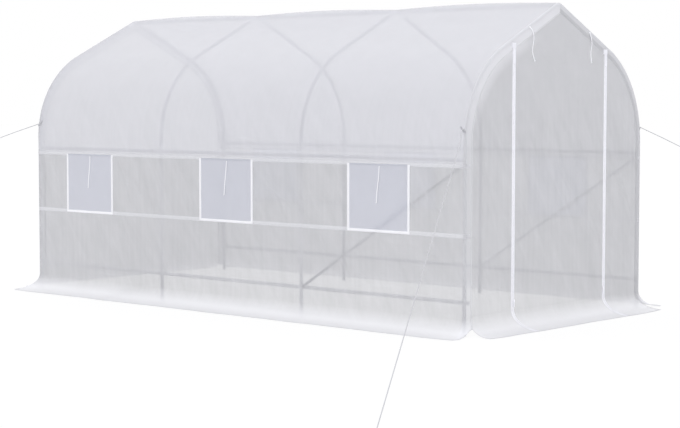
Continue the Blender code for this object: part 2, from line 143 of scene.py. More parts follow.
# Windows
WINDOW_BORDER = 0.018
WINDOW_OVERLAP = 0.005
WINDOW_FOOT = FLAP_LOW.z + WINDOW_OVERLAP
FLAP_SPANS = [(centre - FLAP_HALF, centre + FLAP_HALF) for centre in WINDOW_CENTRES]
WINDOW_EDGES = [(low + WINDOW_OVERLAP, high - WINDOW_OVERLAP) for low, high in FLAP_SPANS]
NET_PITCH = 0.0045
NET_INSET = 0.002
NET_THREAD = 0.00022

# Cords, as the part routes them
TIE_RADIUS = 0.003
TIE_DROP = 0.232
TIE_TOP_GAP = 0.014
TIE_SLANT = -0.024
TIE_ASIDE = 0.014
TIE_ROUTE = ((0, 0), (0.2, 0.3), (0.7, 0.65), (1, 1))
DOOR_TIES = {
    "near": ((-0.329, 1.868), (-0.302, 1.845), (-0.288, 1.798), (-0.301, 1.720), (-0.276, 1.655)),
    "far": ((0.337, 1.850), (0.352, 1.820), (0.361, 1.780), (0.350, 1.720), (0.359, 1.655)),
}
ROPE_RADIUS = 0.0028
ROPE_ANCHOR_HEIGHT = 1.235
ROPE_ANCHOR_X = HALF_LENGTH - 0.010
ROPE_TURN_STEP = 0.005
ROPE_PEG_HEIGHT = 0.022
EYELET_RADII = (0.0075, 0.0018)
PEG_PLACE = Vector((3.760, -3.860))
PEG_RADIUS = 0.004
ROUTE_STEPS = 20
CORD_SIDES = 9
CORD_STRANDS = 3
CORD_RINGS_A_TURN = 6

# Bolts at the tube joints
BOLT_RADIUS = 0.0055
BOLT_HEIGHT = 0.004
BOLT_DROPS = (0.055, 0.025)

# Camera, fitted to the hoops, rails and ground lines
IMAGE_WIDTH = 680
SENSOR_WIDTH = 36.0
FOCAL_PIXELS = 1740.8
CAMERA_PLACE = (8.344, -9.218, 1.426)
CAMERA_TILT = math.radians(86.2)
CAMERA_TURN = math.radians(41.64)

# Studio light
SKY_SIDE = (0.97, 0.97, 0.99)
SKY_TOP = (1.08, 1.09, 1.16)
SKY_STRENGTH = 1.12
SKY_BACK = Vector((-0.707, 0.707, 0.0))
SKY_RANGE = (0.84, 1.16)
FLOOR_SIZE = 120.0
FLOOR_WHITE_SHARE = 0.93
OVERHEAD_SIZE = 9.0
OVERHEAD_PLACE = (-1.0, -0.5, 6.5)
OVERHEAD_POWER = 60.0
KEY_STRENGTH = 0.14
KEY_SPREAD = math.radians(10)
KEY_PLACES = {"key_left": (-0.55, -0.22, 0.80), "key_right": (0.22, 0.55, 0.80)}

# Tones of the film
# Painted light: the skirt, turned up to the sky, is given a much lighter tone than the walls
SKIRT_PAINTED_LIGHT_TONE = (0.92, 0.92, 0.94)
HEM_TONE = (0.78, 0.78, 0.795)
# Painted light: the lighter tone of the front gable's film near the band on its near shoulder
PAINTED_RIM_LIGHT_TONE = (0.85, 0.85, 0.865)
LYING_SHARE = 0.87
SKIRT_CLEAR_SHARE = 0.4
# Lean and size of the painted fold shade in the film's tone
PAINTED_FOLD_SHADE_LEAN = 0.5
PAINTED_FOLD_SHADE_SIZE = (0.10, 0.42, 1.0)


def add_to_scene(name, data):
    obj = bpy.data.objects.new(name, data)
    bpy.context.scene.collection.objects.link(obj)
    return obj


def make_camera():
    data = bpy.data.cameras.new("photo_camera")
    data.sensor_width = SENSOR_WIDTH
    data.lens = FOCAL_PIXELS / IMAGE_WIDTH * SENSOR_WIDTH
    camera = add_to_scene("photo_camera", data)
    camera.location = CAMERA_PLACE
    camera.rotation_euler = (CAMERA_TILT, 0, CAMERA_TURN)
    bpy.context.scene.camera = camera


# Node helpers
class Nodes:
    """The node tree of a material or world, with short calls to add and join nodes."""

    def __init__(self, owner):
        owner.use_nodes = True
        self.owner = owner
        self.tree = owner.node_tree
        self.tree.nodes.clear()

    def add(self, kind, settings=None, **inputs):
        node = self.tree.nodes.new("ShaderNode" + kind)
        for key, value in (settings or {}).items():
            setattr(node, key, value)
        for key, value in inputs.items():
            self.put(node, key.replace("_", " "), value)
        return node

    def join(self, kind, *values, **settings):
        """A node whose inputs take the values in order."""
        node = self.add(kind, settings)
        for key, value in enumerate(values):
            self.put(node, key, value)
        return node

    def put(self, node, key, value):
        """Sets an input by its name or number, from a value, a node or a node's output."""
        socket = node.inputs[key]
        if isinstance(value, bpy.types.Node):
            value = value.outputs[0]
        if isinstance(value, bpy.types.NodeSocket):
            self.tree.links.new(value, socket)
        elif socket.type == "RGBA":
            socket.default_value = (*value, 1.0)
        else:
            socket.default_value = value

    def math(self, operation, total, *others):
        for other in others:
            total = self.join("Math", total, other, operation=operation)
        return total

    def plus(self, *values):
        return self.math("ADD", *values)

    def times(self, *values):
        return self.math("MULTIPLY", *values)

    def spread(self, source, low, high, new_low, new_high):
        """A value moved from one range to another, and kept inside it."""
        return self.join("MapRange", source, low, high, new_low, new_high)

    def blend(self, share, first, second):
        """A colour between two colours."""
        node = self.join("Mix", share, data_type="RGBA")
        self.put(node, 6, first)
        self.put(node, 7, second)
        return node.outputs[2]

    def noise(self, place, scale, detail=3.0, rough=0.5, warp=0.0):
        return self.add("TexNoise", Vector=place, Scale=scale, Detail=detail, Roughness=rough,
                        Distortion=warp)

    def weave(self, place, pitch):
        """Threads both ways, pitch metres apart."""
        waves = [self.add("TexWave", {"bands_direction": way}, Vector=place, Scale=math.pi / 10 / pitch)
                 for way in "XY"]
        return self.plus(*[wave.outputs["Fac"] for wave in waves])

    def seen(self):
        """1 for rays that show what the camera, a mirror or glass sees, and 0 for rays of light."""
        path = self.add("LightPath")
        rays = [path.outputs[f"Is {kind} Ray"] for kind in ("Camera", "Glossy", "Transmission")]
        return self.math("MAXIMUM", *rays)

    def cloth(self, tone, bump, roughness, specular, back_share, open_share):
        """Thin cloth: it scatters light on both faces and lets part of it straight through."""
        front = self.add("BsdfPrincipled", Base_Color=tone, Roughness=roughness, Normal=bump,
                         Specular_IOR_Level=specular)
        back = self.add("BsdfTranslucent", Color=tone, Normal=bump)
        cloudy = self.join("MixShader", back_share, front, back)
        return self.finish(self.join("MixShader", open_share, cloudy, self.add("BsdfTransparent")))

    def finish(self, shader, kind="OutputMaterial"):
        self.join(kind, shader)
        return self.owner


# Studio
def make_world():
    world = bpy.data.worlds.new("studio")
    bpy.context.scene.world = world
    nodes = Nodes(world)
    place = nodes.add("TexCoord").outputs["Generated"]
    height = nodes.add("SeparateXYZ", Vector=place).outputs["Z"]
    sky = nodes.blend(nodes.spread(height, 0.0, 0.95, 0.0, 1.0), SKY_SIDE, SKY_TOP)
    back = nodes.join("VectorMath", place, SKY_BACK, operation="DOT_PRODUCT").outputs["Value"]
    levels = [SKY_STRENGTH * share for share in SKY_RANGE]
    light = nodes.add("Background", Color=sky, Strength=nodes.spread(back, -1, 1, *levels))
    white = nodes.add("Background", Color=(1, 1, 1), Strength=1.0)
    nodes.finish(nodes.join("MixShader", nodes.seen(), light, white), "OutputWorld")


def make_floor():
    bpy.ops.mesh.primitive_plane_add(size=FLOOR_SIZE, location=(0, 0, -0.0006))
    floor = bpy.context.object
    floor.name = "studio_floor"
    nodes = Nodes(bpy.data.materials.new("studio_floor"))
    place = nodes.add("TexCoord").outputs["Object"]
    tone = nodes.blend(nodes.noise(place, 2.0), (0.90, 0.90, 0.90), (0.92, 0.92, 0.92))
    matt = nodes.add("BsdfDiffuse", Color=tone)
    white = nodes.add("Emission", Color=(1, 1, 1), Strength=1.0)
    share = nodes.times(nodes.seen(), FLOOR_WHITE_SHARE)
    floor.data.materials.append(nodes.finish(nodes.join("MixShader", share, matt, white)))


def make_lights():
    data = bpy.data.lights.new("overhead", "AREA")
    data.shape = "SQUARE"
    data.size = OVERHEAD_SIZE
    data.energy = OVERHEAD_POWER
    overhead = add_to_scene("overhead", data)
    overhead.location = OVERHEAD_PLACE
    overhead.visible_camera = False
    for name, place in KEY_PLACES.items():
        data = bpy.data.lights.new(name, "SUN")
        data.energy = KEY_STRENGTH
        data.angle = KEY_SPREAD
        add_to_scene(name, data).rotation_euler = Vector(place).to_track_quat("Z", "Y").to_euler()


# Materials
def greys(low, high, blue=0.01):
    """A dark and a light grey, with a little more blue."""
    return (low, low, low + blue), (high, high, high + blue)


def film_material(name, tones, clear, weave=0.0032, streak=1.0, crumple_and_fold_shade=1.0, back_share=0.42,
                  skirt=SKIRT_PAINTED_LIGHT_TONE, foot=None):
    """Woven film with streaks along its threads, and painted shade and light of soft slanted folds in its
    tone.

    Both fade out up the slope of the roof. The skirt is lighter and less clear than the walls: painted light
    on the film turned up to the sky. foot is the tone and the clear share beside the walls, where they differ
    from the roof's.
    """
    nodes = Nodes(bpy.data.materials.new(name))
    place = nodes.add("UVMap", {"uv_map": "cloth"})
    spot = nodes.add("SeparateXYZ", Vector=nodes.add("TexCoord").outputs["Object"])
    height = spot.outputs["Z"]
    low_share = nodes.spread(height, 1.15, 1.6, 1.0, 0.15)
    # Painted shade: slanted fold lines darken and lighten the film's tone, not its bump
    slant = nodes.add("CombineXYZ", X=nodes.plus(spot.outputs["X"], spot.outputs["Y"]), Y=height)
    slant = nodes.add("Mapping", {"vector_type": "TEXTURE"}, Vector=slant, Rotation=(0, 0, PAINTED_FOLD_SHADE_LEAN),
                      Scale=PAINTED_FOLD_SHADE_SIZE)
    painted_fold_shade = nodes.times(nodes.plus(nodes.noise(slant, 1.0, 2.0, 0.5, 0.6), -0.5),
                         nodes.times(low_share, 1.4 * crumple_and_fold_shade))
    along = nodes.add("Mapping", Vector=place, Scale=(36.0, 1.8, 1.0))
    streaks = nodes.times(nodes.plus(nodes.noise(along, 1.0, 4.0), -0.5), low_share)
    clouds = nodes.plus(nodes.noise(place, 3.5, 4.0, 0.6), -0.5)
    shade = nodes.plus(nodes.times(streaks, 0.9 * streak), clouds, painted_fold_shade)
    tone = nodes.blend(nodes.spread(shade, -0.4, 0.4, 0.0, 1.0), *tones)
    # Painted light: the film turns lighter by the rim attribute, near the band on the front gable's near
    # shoulder
    rim = nodes.add("Attribute", {"attribute_name": "rim"}).outputs["Fac"]
    tone = nodes.blend(rim, tone, PAINTED_RIM_LIGHT_TONE)
    open_share = nodes.spread(shade, -0.4, 0.4, clear + 0.01, clear - 0.01)
    if foot:
        tone = nodes.blend(nodes.spread(height, 1.0, 1.5, 1.0, 0.0), tone, foot[0])
        open_share = nodes.spread(height, 1.0, 1.5, foot[1], clear)
    # Painted light on the skirt: a lighter tone here and a smaller clear share below
    tone = nodes.blend(nodes.spread(height, 0.02, 0.10, 1.0, 0.0), tone, skirt)
    lying = tuple(LYING_SHARE * level for level in skirt)
    tone = nodes.blend(nodes.spread(height, 0.0, 0.03, 1.0, 0.0), tone, lying)
    open_share = nodes.times(open_share, nodes.spread(height, 0.015, 0.10, SKIRT_CLEAR_SHARE, 1.0))
    creases = nodes.times(nodes.noise(place, 6.0, 5.0, 0.55, 0.8), low_share)
    relief = nodes.plus(nodes.times(nodes.weave(place, weave), 0.10), nodes.times(creases, 5.0 * crumple_and_fold_shade),
                        nodes.times(streaks, 0.6 * streak))
    bump = nodes.add("Bump", Strength=0.45, Distance=0.002, Height=relief)
    return nodes.cloth(tone, bump, 0.45, 0.3, back_share, open_share)


def tape_material(name, tones, clear, rib=0.0022, back_share=0.22):
    """White woven tape with ribs across it."""
    nodes = Nodes(bpy.data.materials.new(name))
    place = nodes.add("UVMap", {"uv_map": "cloth"})
    mottle = nodes.noise(place, 40.0, 4.0)
    tone = nodes.blend(nodes.spread(mottle, 0.3, 0.7, 0.0, 1.0), *tones)
    relief = nodes.plus(nodes.times(nodes.weave(place, rib), 0.2), mottle)
    bump = nodes.add("Bump", Strength=0.4, Distance=0.0008, Height=relief)
    return nodes.cloth(tone, bump, 0.7, 0.5, back_share, clear)


def solid_material(name, tones, roughness, metallic=0.0, scale=60.0):
    """A solid finish with fine mottling and relief."""
    nodes = Nodes(bpy.data.materials.new(name))
    grain = nodes.noise(nodes.add("TexCoord").outputs["Object"], scale, 4.0)
    tone = nodes.blend(nodes.spread(grain, 0.3, 0.7, 0.0, 1.0), *tones)
    rough = nodes.spread(grain, 0.3, 0.7, roughness - 0.05, roughness + 0.08)
    bump = nodes.add("Bump", Strength=0.4, Distance=0.0002, Height=grain)
    return nodes.finish(nodes.add("BsdfPrincipled", Base_Color=tone, Roughness=rough, Metallic=metallic,
                                  Normal=bump))


# Meshes
def smooth(value, start, end):
    """0 before start, 1 after end, and an even turn between them."""
    share = np.clip((value - start) / (end - start), 0, 1)
    return share * share * (3 - 2 * share)


def even(low, high, step):
    """Evenly spaced places from low to high."""
    return np.linspace(low, high, max(2, round(abs(high - low) / step) + 1))


def between(marks, step=FILM_STEP):
    """Places that keep every mark and are about a step apart between them."""
    marks = sorted(marks)
    places = [marks[0]]
    for start, end in zip(marks, marks[1:]):
        places += list(even(start, end, step)[1:])
    return np.array(places)


def joined(*parts):
    """Arrays of matching shapes as one array, with the parts of each place side by side."""
    return np.stack(np.broadcast_arrays(*parts), -1).astype(float)


def dress(obj, name, paint, body, slot=None, rounded=True):
    """Gives a piece its name, material, shading and body. Its slot is not used."""
    obj.name = name
    obj.data.materials.append(paint)
    if rounded:
        obj.data.shade_smooth()
    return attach(obj, body)


def new_piece(name, vertices, faces, *looks):
    """A mesh as a piece of the object."""
    mesh = bpy.data.meshes.new(name)
    mesh.from_pydata([tuple(place) for place in vertices], [], faces)
    return dress(add_to_scene(name, mesh), name, *looks)


class Cloth:
    """Gathers grids of places into one mesh with a map in metres of the cloth lying flat."""

    def __init__(self):
        self.places = []
        self.maps = []
        self.faces = []
        self.count = 0

    def grid(self, places, flat, keep=None, flip=False):
        """places is columns by rows by 3, flat is columns by rows by 2, keep picks squares."""
        corners = self.count + np.arange(places[..., 0].size).reshape(places.shape[:2])
        squares = np.stack([corners[:-1, :-1], corners[1:, :-1], corners[1:, 1:], corners[:-1, 1:]], -1)
        squares = squares.reshape(-1, 4) if keep is None else squares[keep]
        self.faces.append(squares[:, ::-1] if flip else squares)
        self.places.append(places.reshape(-1, 3))
        self.maps.append(flat.reshape(-1, 2))
        self.count += corners.size
        return self

    def make(self, name, *looks):
        used, faces = np.unique(np.concatenate(self.faces), return_inverse=True)
        piece = new_piece(name, np.concatenate(self.places)[used], faces.reshape(-1, 4).tolist(), *looks)
        mesh = piece.data
        corners = np.zeros(len(mesh.loops), np.int32)
        mesh.loops.foreach_get("vertex_index", corners)
        flat = np.concatenate(self.maps)[used][corners].astype(np.float32)
        mesh.uv_layers.new(name="cloth").data.foreach_set("uv", flat.ravel())
        return piece


def one_grid(places, u, v, flip, *looks, keep=None):
    """A piece of one grid, u and v being its map."""
    return Cloth().grid(places, joined(u, v), keep, flip).make(*looks)


# Folds and waves in the film
def soft_waves(u, v, seed):
    """Gentle waves of many lengths, mostly upright, with slopes near one."""
    rng = np.random.default_rng(seed)
    total = 0
    for _ in range(WAVE_COUNT):
        length = rng.uniform(*WAVE_LENGTHS)
        heading = rng.normal(0.0, 0.55)
        across = u * math.cos(heading) + v * math.sin(heading)
        bend = 0.35 * length * np.sin(v * 2 * math.pi / (2.2 * length) + rng.uniform(0, 6))
        phase = (across + bend) * 2 * math.pi / length + rng.uniform(0, 6)
        total = total + np.sin(phase) * length / (2 * math.pi)
    return total / math.sqrt(WAVE_COUNT)


def fold(u, v, place, lean, length, width, height, curl=0.0):
    """One long shallow fold. lean is its turn from upright, positive where its top leans to lower u."""
    du = u - place[0]
    dv = v - place[1]
    along = dv * math.cos(lean) - du * math.sin(lean)
    across = du * math.cos(lean) + dv * math.sin(lean) + curl * along * along
    return height * np.exp(-(across / width) ** 2) * np.exp(-(2 * along / length) ** 4)


def scattered_folds(u, v, seed, low, high, count, lean):
    """Many small folds with one main lean."""
    rng = np.random.default_rng(seed)
    total = 0
    for _ in range(count):
        place = (rng.uniform(low[0], high[0]), rng.uniform(low[1], high[1]))
        total = total + fold(u, v, place, rng.normal(lean, 0.35), rng.uniform(0.10, 0.34),
                             rng.uniform(0.006, 0.014), rng.uniform(0.0005, 0.0016), rng.normal(0, 0.8))
    return total


def clear_of(value, marks, inner, outer):
    """0 within inner of any mark, 1 beyond outer of all of them."""
    share = np.ones(np.shape(value))
    for mark in marks:
        share = share * smooth(np.abs(value - mark), inner, outer)
    return share


# Each fold's place on the film, lean, length, width and height
WALL_FOLDS = (
    ((-1.05, 0.86), 0.55, 0.30, 0.014, 0.0030),
    ((-0.98, 0.70), 0.45, 0.26, 0.010, 0.0022),
    ((-0.86, 0.78), 0.20, 0.30, 0.012, 0.0018),
    ((-1.80, 0.90), 0.60, 0.22, 0.012, 0.0022),
    ((-1.22, 0.46), 0.65, 0.30, 0.014, 0.0026),
    ((-1.02, 0.42), 0.30, 0.30, 0.010, 0.0020),
    ((0.42, 0.84), 0.75, 0.34, 0.012, 0.0026),
    ((0.56, 0.74), 0.60, 0.24, 0.010, 0.0020),
    ((0.30, 0.48), 0.70, 0.30, 0.013, 0.0024),
    ((0.88, 0.50), 0.45, 0.32, 0.012, 0.0026),
    ((1.02, 0.46), 0.35, 0.28, 0.010, 0.0020),
    ((1.16, 0.52), 0.60, 0.22, 0.010, 0.0022),
    ((1.70, 0.86), 0.55, 0.22, 0.010, 0.0018),
)
GABLE_FOLDS = (
    ((-0.845, 0.95), 0.0, 1.30, 0.016, -0.0026),
    ((-0.815, 0.95), 0.0, 1.20, 0.014, 0.0016),
    ((-0.12, 1.66), 0.75, 0.34, 0.016, 0.0034),
    ((-0.20, 1.32), 0.25, 0.50, 0.012, 0.0022),
    ((0.10, 1.20), 0.35, 0.44, 0.012, 0.0020),
    ((0.06, 0.92), 0.62, 0.36, 0.013, 0.0030),
    ((0.30, 0.78), 0.40, 0.52, 0.012, 0.0024),
    ((0.42, 0.62), 0.45, 0.40, 0.010, 0.0024),
    ((0.66, 0.86), 0.75, 0.36, 0.012, 0.0028),
    ((0.80, 0.78), 0.60, 0.34, 0.012, 0.0024),
    ((-0.10, 0.50), 0.50, 0.30, 0.010, 0.0018),
    ((-0.70, 1.28), 0.45, 0.30, 0.014, 0.0020),
)


def wall_relief(side, x, z):
    """How far a long wall's film stands out of its plane, nowhere under a window or on a tube."""
    if side < 0:
        relief = scattered_folds(x, z, 11, (-2.0, 0.12), (2.0, 1.0), 70, 0.5)
        for row in WALL_FOLDS:
            relief += fold(x, z, *row)
        relief += 0.030 * soft_waves(x, z, 21)
    else:
        relief = scattered_folds(x, z, 12, (-2.0, 0.12), (2.0, 1.0), 110, 0.4)
        relief += 0.034 * soft_waves(x, z, 22)
    quiet = clear_of(x, HOOP_X, *HOOP_QUIET) * (1 - smooth(z, 0.93, 1.0))
    quiet = quiet * (0.15 + 0.85 * clear_of(z, [LOWER_BAND_HEIGHT], 0.015, 0.06))
    for centre in WINDOW_CENTRES:
        beside = smooth(np.abs(x - centre), FLAP_HALF + 0.012, FLAP_HALF + 0.07)
        under = 1 - smooth(z, FLAP_LOW.z - 0.07, FLAP_LOW.z - 0.012)
        quiet = quiet * np.maximum(beside, under)
    return np.maximum(relief * quiet, -0.0022)


def roof_relief(x, v, z):
    """The roof's film sags a little between the hoops and is smooth towards the ridge."""
    folds = scattered_folds(x, v, 32, (-2.0, 0.0), (2.0, 3.4), 60, 0.3)
    waves = (0.020 * soft_waves(x, v, 31) + folds * 0.6) * (1 - 0.9 * smooth(z, 1.25, 1.55))
    bay = np.abs(np.sin(math.pi * (x - HOOP_X[0]) / (HOOP_X[1] - HOOP_X[0])))
    sag = -0.006 * bay ** 1.5 * smooth(z, 1.12, 1.35) * (1 - smooth(z, 1.86, 2.0))
    sag = sag + RIDGE_BULGE * bay * smooth(z, 1.88, 2.0)
    quiet = clear_of(x, HOOP_X, *HOOP_QUIET) * smooth(z, MID_RAIL_HEIGHT + 0.02, MID_RAIL_HEIGHT + 0.12)
    return sag + np.maximum(waves, -0.002) * quiet * (1 - smooth(z, 1.93, 1.99))


def gable_relief(end, y, z):
    """How far a gable's film stands out of its plane. It is flat along the line where the door turns."""
    relief = scattered_folds(y, z, 41 + end, (-0.9, 0.15), (0.9, 1.9), 55, 0.45)
    if end > 0:
        for row in GABLE_FOLDS:
            relief += fold(y, z, *row)
    relief += 0.026 * soft_waves(y, z, 51 + end)
    inside = HALF_WIDTH - SEAM + CORNER_ARC - np.abs(y)
    quiet = smooth(np.minimum(inside, edge_height(y) - z), 0.0, 0.05) * clear_of(y, DOOR_EDGES, 0.017, 0.06)
    if end > 0:
        over_door = (y > DOOR_EDGES[0]) & (y < DOOR_EDGES[1])
        quiet = quiet * np.where(over_door, clear_of(z, [DOOR_TOP], 0.0, 0.035), 1.0)
    return np.maximum(relief, -0.0008) * quiet


# Places on the cover
def wall_places(side, u, z, lift=0.0):
    """Places on a long wall's film. u is x along the wall, and goes on round the cover's corners."""
    beyond = np.maximum(0, np.abs(u) - HALF_LENGTH)
    angle = np.minimum(math.pi / 2, beyond / FILM_OFFSET)
    inward = np.maximum(0, beyond - CORNER_ARC)
    reach = FILM_OFFSET + lift + wall_relief(side, u, z)
    x = np.sign(u) * (np.minimum(np.abs(u), HALF_LENGTH) + reach * np.sin(angle))
    return joined(x, side * (HALF_WIDTH + reach * np.cos(angle) - inward), z)


def gable_places(end, y, z, lift=0.0):
    """Places on a gable's film."""
    return joined(end * (GABLE_FILM_X + lift + gable_relief(end, y, z)), y, z)


def turn_out(places, q, part, along, ways, lift):
    """Places on the skirt, from the places at its top.

    q is the distance round the cover from a corner, below zero on the long wall and above it on
    the gable. part runs from 0 at the top of the skirt to 1 at its hem. The skirt is cut short at
    the seam on the gable, and round the corner it fans out from one wall's heading to the other's.
    Its hem ripples with the distance along it. ways are the signs of x and y outwards.
    """
    width = np.where(q < SEAM, *SKIRT_CORNER)
    share = SKIRT_NOTCH_SHARE + (1 - SKIRT_NOTCH_SHARE) * smooth(np.abs(q - SEAM) / width, 0, 1)
    turn = math.pi / 2 * share * part
    ripple = HEM_RIPPLE * part ** 2 * (np.sin(along * 7.3 + 0.6) + 0.7 * np.sin(along * 17.1 + 2.0))
    out = SKIRT_REACH * (1 - np.cos(turn)) + ripple
    heading = np.interp(q, *SKIRT_TURNS)
    return joined(places[..., 0] + ways[0] * out * np.sin(heading),
                  places[..., 1] + ways[1] * out * np.cos(heading),
                  SKIRT_FOOT + SKIRT_TOP * (1 - np.sin(turn)) + lift)


def wall_skirt_places(side, u, part, lift=0.0):
    """Places on a long wall's skirt, with u as for the wall."""
    places = wall_places(side, u, SKIRT_TOP, lift)
    return turn_out(places, np.abs(u) - HALF_LENGTH, part, u * side, (np.sign(u), side), lift)


def gable_skirt_places(end, y, part, lift=0.0):
    """Places on a gable's skirt."""
    places = gable_places(end, y, SKIRT_TOP, lift)
    q = CORNER_ARC + HALF_WIDTH - np.abs(y)
    return turn_out(places, q, part, y * end + 3.0, (end, np.sign(y)), lift)


def edge_height(y):
    """Height at which a gable's film meets the edge band over a place across the tunnel."""
    y = np.abs(y)
    rafter = RAFTER_FOOT_Z + (RAFTER_FOOT_Y - y) * math.tan(RAFTER_PITCH)
    bend = SHOULDER_HEIGHT + np.sqrt(np.maximum(0, GABLE_RADIUS ** 2 - (y - SHOULDER_CENTRE) ** 2))
    return np.where(y > RAFTER_FOOT_Y, bend, rafter)


def on_arc(y, z, radius, out_y, out_z):
    return y + radius * out_y, z + radius * out_z, out_y, out_z


def hoop_stations(foot):
    """Places along a hoop's centre line, from a height on the near leg over the top to the far leg.

    Each station is y, z and the outward direction there.
    """
    half = [(HALF_WIDTH, z, 1.0, 0.0) for z in even(foot, SHOULDER_HEIGHT, FILM_STEP)[:-1]]
    for turn in even(0.0, math.pi / 2 - RAFTER_PITCH, FILM_STEP / SHOULDER_RADIUS):
        half.append(on_arc(SHOULDER_CENTRE, SHOULDER_HEIGHT, SHOULDER_RADIUS, math.cos(turn), math.sin(turn)))
    crown = [on_arc(0.0, APEX_CENTRE, APEX_RADIUS, math.sin(turn), math.cos(turn))
             for turn in np.linspace(RAFTER_PITCH, 0, 5)]
    start = Vector(half[-1][:2])
    goal = Vector(crown[0][:2])
    count = round((goal - start).length / FILM_STEP)
    half += [(*start.lerp(goal, k / count), *crown[0][2:]) for k in range(1, count)] + crown
    near = [(-y, z, -out_y, out_z) for y, z, out_y, out_z in half]
    return np.array(near + half[-2::-1])


def travelled(places):
    """Distance along a row of places, from the first one."""
    steps = np.linalg.norm(np.diff(places, axis=0), axis=1)
    return np.concatenate([[0.0], np.cumsum(steps)])


def steps_along(places):
    """Distance along a strip at each of its rows, one step apart."""
    return np.arange(len(places))[:, None] * FILM_STEP


def outside(values, spans):
    """Which values lie outside all of the spans."""
    kept = np.ones(len(values), bool)
    for low, high in spans:
        kept &= (values < low) | (values > high)
    return kept


# Sheets
def make_roof(film):
    """One sheet from the upper band on one side, over the hoops, to the other side."""
    stations = hoop_stations(BAND_HEIGHT + UPPER_BAND_WIDTH / 2 - TAPE_OVERLAP)
    v = travelled(stations[:, :2])
    xs = between(HOOP_X)[:, None]
    y, z, out_y, out_z = stations.T
    offset = FILM_OFFSET + roof_relief(xs, v, z)
    places = joined(xs, y + out_y * offset, z + out_z * offset)
    roof = one_grid(places, xs, v, False, "roof_film", film, "root", "film")
    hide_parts("roof_sheet")


def make_wall(side, label, film):
    """A long wall with its window openings and its skirt. Under the bands the tape stands alone."""
    tape = LOWER_BAND_WIDTH / 2 - TAPE_OVERLAP
    band = (LOWER_BAND_HEIGHT - tape, LOWER_BAND_HEIGHT + tape)
    opening = (WINDOW_FOOT, BAND_HEIGHT - UPPER_BAND_WIDTH / 2)
    xs = between(HOOP_X + [x for span in WINDOW_EDGES + FLAP_SPANS for x in span])
    zs = between([SKIRT_TOP, *band, *opening, opening[1] + TAPE_OVERLAP])[::-1]
    parts = SKIRT_PARTS[1:]
    places = np.concatenate([wall_places(side, xs[:, None], zs),
                             wall_skirt_places(side, xs[:, None], parts)], 1)
    drop = np.concatenate([BAND_HEIGHT - zs, BAND_HEIGHT - SKIRT_TOP + parts * SKIRT_LENGTH])
    columns = (xs[1:] + xs[:-1]) / 2
    rows = (zs[1:] + zs[:-1]) / 2
    keep = np.ones((len(xs) - 1, len(drop) - 1), bool)
    keep[np.ix_(~outside(columns, WINDOW_EDGES), ~outside(rows, [opening]))] = False
    keep[np.ix_(outside(columns, FLAP_SPANS), ~outside(rows, [band]))] = False
    wall = one_grid(places, xs[:, None], drop, side < 0, f"wall_film_{label}", film, "root", "film",
                    keep=keep)
    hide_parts(f"wall_{label}")


# Materials of the band and of its seam at each end, and the seam's profile.
# The seam is a doubled line of film whose dark tone is also painted shade beside the hoop. On the
# front gable the near half's seam takes the band's light tone, and the far half is painted shade: a
# darker band, and a wider dark seam over its inner part, on the side turned from the light.
BAND_LOOKS = {
    "back_near": ("edge", "seam", SEAM_SHARES),
    "back_far": ("edge", "seam", SEAM_SHARES),
    "front_near": ("edge", "soft_seam", SEAM_SHARES),
    "front_far": ("dull_edge", "seam", SHADED_SEAM_SHARES),
}


def edge_bands(end, label, materials):
    """The sheet's edge that wraps each end hoop, and its seam on the gable."""
    flats = CORNER_ARC + np.array([0.012, 0.025, 0.038, 0.050])
    band_widths = np.concatenate([[BAND_START, BAND_START / 2], np.linspace(0, CORNER_ARC, 6), flats])
    band_lifts = np.array([0.0002] + [0.0008] * 7 + [0.0006, 0.0004, 0.0002, 0.0])
    seam_lifts = np.array([0.0002, 0.0012, 0.0015, 0.0012, 0.0002])
    for side_label, side in SIDES:
        name = f"{label}_{side_label}"
        band, seam, shares = BAND_LOOKS[name]
        seam_widths = SEAM + SEAM_WIDTH * np.array(shares)
        edge_strip(f"edge_band_{name}", end, side, band_widths, band_lifts, materials[band])
        edge_strip(f"edge_seam_{name}", end, side, seam_widths, seam_lifts, materials[seam])


def edge_strip(name, end, side, widths, lifts, paint):
    """A strip round one half of an end hoop, widths being distances from the hoop's centre line."""
    angle = np.clip(widths / FILM_OFFSET, 0, math.pi / 2)
    radial = (FILM_OFFSET + lifts) * np.cos(angle) - np.maximum(0, widths - CORNER_ARC)
    xs = end * (HALF_LENGTH + np.minimum(0, widths) + (FILM_OFFSET + lifts) * np.sin(angle))
    y, z, out_y, out_z = hoop_stations(SKIRT_TOP).T[..., None]
    places = joined(xs, y + out_y * radial, z + out_z * radial)
    runs = end * (HALF_LENGTH + widths)
    near, far = [wall_skirt_places(way, runs, SKIRT_PARTS[:, None], lifts) for way in (-1, 1)]
    places = np.concatenate([near[:0:-1], places, far[1:]])
    keep = side * (places[1:, :-1, 1] + places[:-1, :-1, 1]) >= 0
    one_grid(places, widths, steps_along(places), end > 0, name, paint, "root", "film", keep=keep)


def gable_grid(cloth, end, ys, top, foot):
    """A gable's film between two lines, top and foot being heights over each place."""
    rows = max(2, round(float(np.max(top - foot)) / FILM_STEP))
    top = np.broadcast_to(top, ys.shape)[:, None]
    z = top + (foot - top) * np.linspace(0, 1, rows + 1)
    cloth.grid(gable_places(end, ys[:, None], z), joined(ys[:, None], z), flip=end < 0)


def hanging_grid(cloth, end, ys, top):
    """A gable's film from a line down to the ground, with its skirt."""
    gable_grid(cloth, end, ys, top, SKIRT_TOP)
    places = gable_skirt_places(end, ys[:, None], SKIRT_PARTS)
    cloth.grid(places, joined(ys[:, None], SKIRT_TOP - SKIRT_PARTS * SKIRT_LENGTH), flip=end < 0)


